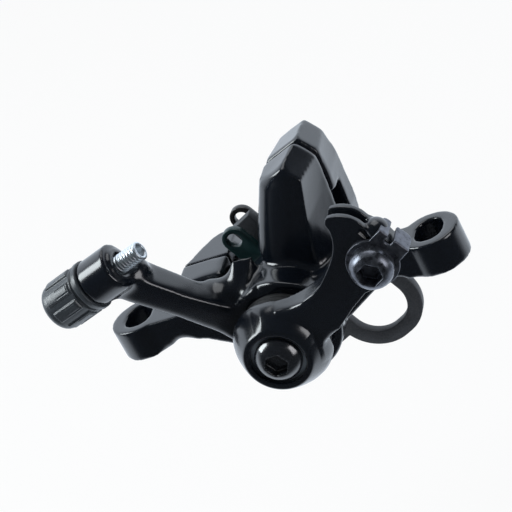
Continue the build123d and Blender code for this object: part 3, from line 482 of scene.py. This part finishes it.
# Actuator arm
# A forged lever with a domed hub, in smooth gloss black, glossier than the body. Its blade
# flows out of the hub, and two flanges guide the cable along the sector at its end.
arm_skin = 0.22 * mm
arm_rounds = 10
arm_soft_rounds = 160
arm_soft = (
    ((4.0, -20.5, 10.0), (8.5, -20.0, 9.0), 3.0),
    ((11.2, -21.5, -1.0), (11.8, -15.0, 0.0), 5.0),
)
blade_web_steps = 24
blade_web = (
    (-20.2, ((3.4, 10.5), (7.6, 8.2), (16.0, 13.4)), [(6.0, 5.0)]),
    (-15.4, ((3.4, 10.5), (8.6, 10.0), (16.0, 13.4)), [(6.0, 5.0)]),
)
lug_place = Vector((33.2, -18.0, 22.0)) * mm
lug_radii = (2.7 * mm, 3.0 * mm, 2.2 * mm)
lug_turn = radians(-30)
hub_centre = Vector((0, -0.4)) * mm
hub_radius = 11.9 * mm
hub_rim = (7.7 * mm, 10.5 * mm)
hub_back = -15.5 * mm
hub_fade = 2.5 * mm
hub_fall = 1.6 * mm
hub_lean = 1.5
blade_front = -20.5 * mm
blade_turn = radians(55)
blade_sides = (radians(35), radians(50))
blade_shelf = (radians(60), radians(90))

arm_black = surface("arm_black", colour=(0.0065, 0.009, 0.014), roughness=0.2, ior=1.7)
add_grain(arm_black, scale=420, height=0.003 * mm, roughness=(0.17, 0.23))

# the blade's left side sweeps out into the hub, and a lug closes the cable's groove
arm_shown = joined_copy("actuator_arm")
add_web(arm_shown, blade_web, blade_web_steps)
add_lump(arm_shown, lug_place, lug_radii, lug_turn)
cast_copy(arm_shown, arm_skin, arm_rounds, arm_soft, arm_soft_rounds)

# the hub falls away from a crisp rim round the bolt, but not where the blade leaves it
for corner in arm_shown.data.vertices:
    place = Vector((corner.co.x, corner.co.z)) - hub_centre
    if not hub_rim[0] < place.length < hub_radius:
        continue
    turn = (atan2(place.y, place.x) - blade_turn + pi) % (2 * pi) - pi
    out = portion(place.length, *hub_rim)
    fall = hub_fall * (1 - (1 - out) ** hub_lean)
    fall *= portion(corner.co.y, hub_back, hub_back - hub_fade) * portion(abs(turn), *blade_sides)
    free = 1 if turn > 0 else portion(abs(turn), *blade_shelf)
    kept = min(fall, max(0, blade_front - corner.co.y))
    corner.co.y += fall * free + kept * (1 - free)
arm_shown.data.materials.append(arm_black)
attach(arm_shown, "actuator")
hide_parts("actuator_arm")


# Barrel screw
# A hollow steel screw, plated bright, with a rolled thread and a slot for the cable. It
# turns in the boss of the cable stop.
barrel_centre = Vector((-29.2, -17.5, 30.1)) * mm
barrel_angle = radians(17.4)
screw_radius = 2.25 * mm
screw_root = 1.98 * mm
screw_bore = 1.4 * mm
screw_pitch = 0.8 * mm
screw_ends = (-10.7 * mm, 10.8 * mm)
thread_ends = (-4.0 * mm, 10.5 * mm)
screw_chamfer = 0.35 * mm
screw_sides = 72
screw_crease = radians(50)
rows_per_turn = 10
edge_steps = 4
slot_width = 0.9 * mm
slot_length = 16.2 * mm
slot_height = 4 * screw_radius
slot_middle = 4.0 * mm

barrel_way = Vector((cos(barrel_angle), 0, sin(barrel_angle)))
barrel_up = Vector((-sin(barrel_angle), 0, cos(barrel_angle)))
barrel_side = barrel_way.cross(barrel_up)


def edge_rows(radius, end, rounding, steps):
    """Rows round an outer edge, from its side to the end face. Rounding is negative at a start."""
    rows = []
    for step in range(steps + 1):
        bend = pi / 2 * step / steps
        rows.append((radius - abs(rounding) * (1 - cos(bend)), end - rounding * (1 - sin(bend))))
    return rows


def turned_piece(name, rows, sides, radius_at):
    """A closed ring of rows round the barrel's axis. A row is a radius and a place along."""
    mesh = bpy.data.meshes.new(name)
    corners = []
    faces = []
    for row, (radius, along) in enumerate(rows):
        after = (row + 1) % len(rows)
        for side in range(sides):
            beside = (side + 1) % sides
            angle = 2 * pi * side / sides
            spoke = barrel_up * cos(angle) + barrel_side * sin(angle)
            corners.append(barrel_centre + barrel_way * along + spoke * radius_at(radius, along, angle))
            this_row = (row * sides + side, row * sides + beside)
            faces.append((*this_row, after * sides + beside, after * sides + side))
    mesh.from_pydata(corners, [], faces)
    outward = bmesh.new()
    outward.from_mesh(mesh)
    bmesh.ops.recalc_face_normals(outward, faces=outward.faces)
    outward.to_mesh(mesh)
    outward.free()
    piece = bpy.data.objects.new(name, mesh)
    scene.collection.objects.link(piece)
    return piece


def thread_radius(radius, along, angle):
    """The thread's ridge, which climbs one pitch in a turn and ends with the thread."""
    if radius < screw_root or not thread_ends[0] < along < thread_ends[1]:
        return radius
    turn = (along / screw_pitch - angle / (2 * pi)) % 1
    ridge = 0.5 - 0.5 * cos(2 * pi * turn)
    return min(radius, screw_root + (screw_radius - screw_root) * ridge)


row_gap = screw_pitch / rows_per_turn
row_count = int((thread_ends[1] - thread_ends[0]) / row_gap) + 1
screw_rows = [
    (screw_bore, screw_ends[0]),
    (screw_radius - screw_chamfer, screw_ends[0]),
    (screw_radius, screw_ends[0] + screw_chamfer),
]
screw_rows += [(screw_radius, thread_ends[0] + row * row_gap) for row in range(row_count)]
screw_rows += edge_rows(screw_radius, screw_ends[1], screw_chamfer, edge_steps)[1:]
screw_rows.append((screw_bore + screw_chamfer / 2, screw_ends[1]))
screw_rows.append((screw_bore, screw_ends[1] - screw_chamfer / 2))
screw_shown = turned_piece("barrel_screw_shown", screw_rows, screw_sides, thread_radius)

slot_mesh = bpy.data.meshes.new("screw_slot")
slot_shape = bmesh.new()
slot_place = barrel_centre + barrel_way * slot_middle + barrel_up * slot_height / 2
slot_turn = Matrix((barrel_way, barrel_side, barrel_up)).transposed().to_4x4()
slot_size = Matrix.Diagonal((slot_length, slot_width, slot_height, 1))
bmesh.ops.create_cube(
    slot_shape, size=1, matrix=Matrix.Translation(slot_place) @ slot_turn @ slot_size
)
slot_shape.to_mesh(slot_mesh)
slot_shape.free()
slot_tool = bpy.data.objects.new("screw_slot", slot_mesh)
scene.collection.objects.link(slot_tool)
slot_cut = screw_shown.modifiers.new("slot", "BOOLEAN")
slot_cut.operation = "DIFFERENCE"
slot_cut.solver = "EXACT"
slot_cut.object = slot_tool
settle(screw_shown)
bpy.data.objects.remove(slot_tool)
screw_shown.data.shade_smooth()
screw_shown.data.set_sharp_from_angle(angle=screw_crease)

bright_zinc = surface("bright_zinc", colour=(0.76, 0.82, 0.87), roughness=0.36, metallic=1)
add_grain(bright_zinc, scale=1500, height=0.001 * mm, roughness=(0.32, 0.4))
screw_shown.data.materials.append(bright_zinc)
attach(screw_shown, "barrel")
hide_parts("barrel_screw")


# Barrel knob
# The grip that turns the screw: moulded in matte dark plastic, with a rounded nose, eight
# raised ribs that each carry a sunken frame, a neck and a flange towards the boss.
knob_radius = 5.6 * mm
knob_ends = (-16.3 * mm, -4.3 * mm)
knob_nose = 1.6 * mm
knob_nose_steps = 8
knob_lip = 0.3 * mm
knob_bore = 2.55 * mm
knob_bore_depth = 5.6 * mm
knob_bore_wall = 1.0 * mm
knob_screw_hole = 2.3 * mm
knob_well = 4.2 * mm
knob_well_depth = 3.7 * mm
knob_row_gap = 0.08 * mm
knob_sides = 320
knob_crease = radians(45)
rib_count = 8
rib_half_width = 1.5 * mm
rib_height = 0.42 * mm
rib_ends = (-14.1 * mm, -6.9 * mm)
rib_slope = 0.38 * mm
frame_inset = 0.62 * mm
frame_width = 0.28 * mm
frame_depth = 0.13 * mm
frame_start = -11.5 * mm
frame_fade = 1.0 * mm
frame_flat_share = 1.4
neck_ends = (-6.7 * mm, -5.7 * mm)
neck_depth = 0.35 * mm
neck_slope = 0.4 * mm
flange_height = 0.4 * mm
flange_slope = 0.25 * mm


def eased(value):
    """0 below 0, 1 above 1 and a smooth rise between them."""
    value = portion(value, 0, 1)
    return value * value * (3 - 2 * value)


def knob_surface(radius, along, angle):
    """Ribs, frames, neck and flange on the knob's plain turned shape."""
    if radius < knob_bore + knob_bore_wall:
        return radius
    step = 2 * pi / rib_count
    aside = abs((angle + step / 2) % step - step / 2) * knob_radius
    inside = min(rib_half_width - aside, along - rib_ends[0], rib_ends[1] - along)
    rise = rib_height * eased(inside / rib_slope)
    if inside > 0:
        to_frame = abs(min(rib_half_width - aside, rib_ends[1] - along) - frame_inset)
        sunken = frame_depth * eased(frame_flat_share - 2 * to_frame / frame_width)
        rise -= sunken * eased((along - frame_start) / frame_fade)
    neck = min(along - neck_ends[0], neck_ends[1] - along)
    rise -= neck_depth * eased(neck / neck_slope)
    rise += flange_height * eased((along - neck_ends[1]) / flange_slope)
    return radius + rise


knob_side_start = knob_ends[0] + knob_nose
row_count = int((knob_ends[1] - knob_side_start - knob_lip) / knob_row_gap)
knob_rows = [
    (knob_bore, knob_ends[0] + knob_bore_depth),
    (knob_bore, knob_ends[0] + knob_lip),
    (knob_bore + knob_lip, knob_ends[0]),
]
knob_rows += reversed(edge_rows(knob_radius, knob_ends[0], -knob_nose, knob_nose_steps))
knob_rows += [
    (knob_radius, knob_side_start + (row + 1) * knob_row_gap) for row in range(row_count)
]
knob_rows += edge_rows(knob_radius, knob_ends[1], knob_lip, edge_steps)[1:]
knob_rows += [
    (knob_well, knob_ends[1]),
    (knob_well, knob_ends[1] - knob_well_depth),
    (knob_screw_hole, knob_ends[1] - knob_well_depth),
    (knob_screw_hole, knob_ends[0] + knob_bore_depth),
]
knob_shown = turned_piece("barrel_knob_shown", knob_rows, knob_sides, knob_surface)
knob_shown.data.shade_smooth()
knob_shown.data.set_sharp_from_angle(angle=knob_crease)

grip_plastic = surface("grip_plastic", colour=(0.05, 0.058, 0.067), roughness=0.34, ior=1.6)
add_grain(grip_plastic, scale=1200, height=0.003 * mm, roughness=(0.3, 0.4))
knob_shown.data.materials.append(grip_plastic)
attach(knob_shown, "barrel")
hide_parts("barrel_knob")


# Pivot bolt
# A steel button-head screw with a hexagon socket, blackened and glossy, that holds the arm on
# its shaft. Its head falls away steeply towards the rim.
bolt_skin = 0.12 * mm
bolt_rounds = 8
pivot_dome = (2.8 * mm, 5.45 * mm)
pivot_head = (-21.3 * mm, -23.5 * mm)
pivot_fall = 1.0 * mm


def domed_copy(node, centre, dome, head, fall):
    """A copy of a screw, its head bent back between the dome's two radii, most at the rim."""
    piece = joined_copy(node)
    cast_copy(piece, bolt_skin, bolt_rounds)
    for corner in piece.data.vertices:
        reach = (Vector((corner.co.x, corner.co.z)) - centre).length
        out = max(0, (reach - dome[0]) / (dome[1] - dome[0]))
        corner.co.y += fall * portion(corner.co.y, *head) * out**2
    return piece


pivot_shown = domed_copy("pivot_bolt", hub_centre, pivot_dome, pivot_head, pivot_fall)
bolt_black = surface("bolt_black", colour=(0.012, 0.014, 0.018), roughness=0.16, ior=2.0)
add_grain(bolt_black, scale=900, height=0.006 * mm, roughness=(0.1, 0.26), detail=5.0)
pivot_shown.data.materials.append(bolt_black)
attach(pivot_shown, "actuator")
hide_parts("pivot_bolt")


# Clamp bolt
# A steel cap screw with a hexagon socket that clamps the cable. Its blackening is worn to a
# cloudy grey, and its head is rounded all the way from the socket to its side.
clamp_centre = Vector((30.05, 15.7)) * mm
clamp_dome = (2.3 * mm, 4.9 * mm)
clamp_head = (-21.5 * mm, -26.0 * mm)
clamp_fall = 1.7 * mm
cloud_colours = ((0.05, 0.054, 0.065), (0.25, 0.265, 0.31))

clamp_shown = domed_copy("cable_clamp_bolt", clamp_centre, clamp_dome, clamp_head, clamp_fall)
worn_black = surface("worn_black", colour=(0.1, 0.105, 0.125), roughness=0.3, metallic=0.85)
add_grain(worn_black, scale=700, height=0.004 * mm, roughness=(0.2, 0.42), colours=cloud_colours)
clamp_shown.data.materials.append(worn_black)
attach(clamp_shown, "actuator")
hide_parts("cable_clamp_bolt")


# Clamp plate
# A stamped steel plate under the clamp bolt, blackened, keyed to the arm by the two fingers
# that are folded over the arm's end.
plate_skin = 0.11 * mm
plate_rounds = 12
plate_soft_rounds = 80
plate_soft = (
    ((35.0, -21.5, 18.0), (37.0, -21.5, 19.0), 3.5),
    ((38.5, -20.5, 16.5), (36.7, -16.9, 19.6), 3.0),
    ((35.9, -20.6, 21.4), (35.9, -18.0, 21.4), 2.5),
)
oxide_colours = ((0.06, 0.065, 0.078), (0.24, 0.25, 0.29))

black_oxide = surface("black_oxide", colour=(0.08, 0.083, 0.1), roughness=0.34, metallic=0.85)
add_grain(
    black_oxide,
    scale=800,
    height=0.005 * mm,
    roughness=(0.22, 0.44),
    colours=oxide_colours,
    contrast=0.6,
)
plate_shown = joined_copy("cable_clamp_plate")
cast_copy(plate_shown, plate_skin, plate_rounds, plate_soft, plate_soft_rounds)
plate_shown.data.materials.append(black_oxide)
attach(plate_shown, "actuator")
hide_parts("cable_clamp_plate")


# Small hard parts
# Turned, pressed and moulded parts keep the shape of their solids, with a fine chamfer on
# each edge that catches the light. Parts that hardly show keep their solids as they are.
bevel_steps = 2
bevel_angle = radians(32)
crease_angle = radians(38)
spacer_colours = ((0.035, 0.037, 0.042), (0.075, 0.078, 0.088))
friction_colours = ((0.03, 0.028, 0.026), (0.16, 0.13, 0.1))

# each plain finish: name, colour, roughness, metallic, grain scale and height in mm, roughness range
plain_finishes = (
    ("green_plate", (0.01, 0.035, 0.036), 0.3, 0, 1500, 0.004, (0.26, 0.4)),
    ("brown_plate", (0.022, 0.02, 0.02), 0.3, 0, 1500, 0.004, (0.26, 0.4)),
    ("spring_steel", (0.5, 0.5, 0.52), 0.3, 1, 1500, 0.002, (0.22, 0.36)),
    ("bare_steel", (0.42, 0.42, 0.43), 0.32, 1, 1500, 0.002, (0.24, 0.4)),
    ("plug_metal", (0.06, 0.06, 0.065), 0.34, 0.8, 1500, 0.003, (0.28, 0.42)),
    ("seal_rubber", (0.014, 0.014, 0.015), 0.6, 0, 1800, 0.006, (0.5, 0.68)),
    ("bronze", (0.45, 0.3, 0.14), 0.35, 1, 1500, 0.003, (0.28, 0.42)),
    ("cage_plastic", (0.5, 0.45, 0.36), 0.45, 0, 1500, 0.004, (0.4, 0.5)),
)

# each edged part: node, body, slot, which is also the finish's name, and chamfer in mm
edged_parts = (
    ("body_bolts", "root", "black_oxide", 0.2),
    ("pad_spacer", "spacer", "spacer_plastic", 0.35),
    ("outboard_pad_plate", "foot", "green_plate", 0.25),
    ("inboard_pad_plate", "carrier", "brown_plate", 0.25),
    ("outboard_pad_lining", "foot", "friction", 0.15),
    ("inboard_pad_lining", "carrier", "friction", 0.15),
    ("pad_spring", "root", "spring_steel", 0.05),
    ("pad_adjuster", "adjuster", "plug_metal", 0.25),
    ("dust_seal", "root", "seal_rubber", 0.2),
)

# each part that keeps its solid: node and finish
kept_parts = (
    ("arm_washer", "bright_zinc"),
    ("fixed_ramp", "bare_steel"),
    ("ramp_shaft", "bare_steel"),
    ("pressure_foot", "bare_steel"),
    ("pad_carrier", "bare_steel"),
    ("ramp_balls", "bright_zinc"),
    ("return_spring", "spring_steel"),
    ("barrel_spring", "spring_steel"),
    ("shaft_bushing", "bronze"),
    ("ball_cage", "cage_plastic"),
    ("adjuster_ring", "seal_rubber"),
)

finishes = {"black_oxide": black_oxide, "bright_zinc": bright_zinc}
finishes["spacer_plastic"] = surface(
    "spacer_plastic", colour=(0.05, 0.052, 0.06), roughness=0.55
)
add_grain(
    finishes["spacer_plastic"],
    scale=2600,
    height=0.012 * mm,
    roughness=(0.48, 0.62),
    colours=spacer_colours,
)
finishes["friction"] = surface("friction", colour=(0.07, 0.065, 0.06), roughness=0.85)
add_grain(
    finishes["friction"], scale=1400, height=0.03 * mm, colours=friction_colours, contrast=0.3
)
for name, colour, roughness, metallic, scale, height, roughness_range in plain_finishes:
    finishes[name] = surface(name, colour, roughness, metallic=metallic)
    add_grain(finishes[name], scale, height * mm, roughness=roughness_range)

for node, body, slot, chamfer in edged_parts:
    piece = joined_copy(node)
    edge = piece.modifiers.new("edges", "BEVEL")
    edge.width = chamfer * mm
    edge.segments = bevel_steps
    edge.limit_method = "ANGLE"
    edge.angle_limit = bevel_angle
    settle(piece)
    piece.data.materials.append(finishes[slot])
    piece.data.shade_smooth()
    piece.data.set_sharp_from_angle(angle=crease_angle)
    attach(piece, body)
    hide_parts(node)

for node, finish in kept_parts:
    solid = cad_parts[node]
    solid.data.materials.clear()
    solid.data.materials.append(finishes[finish])
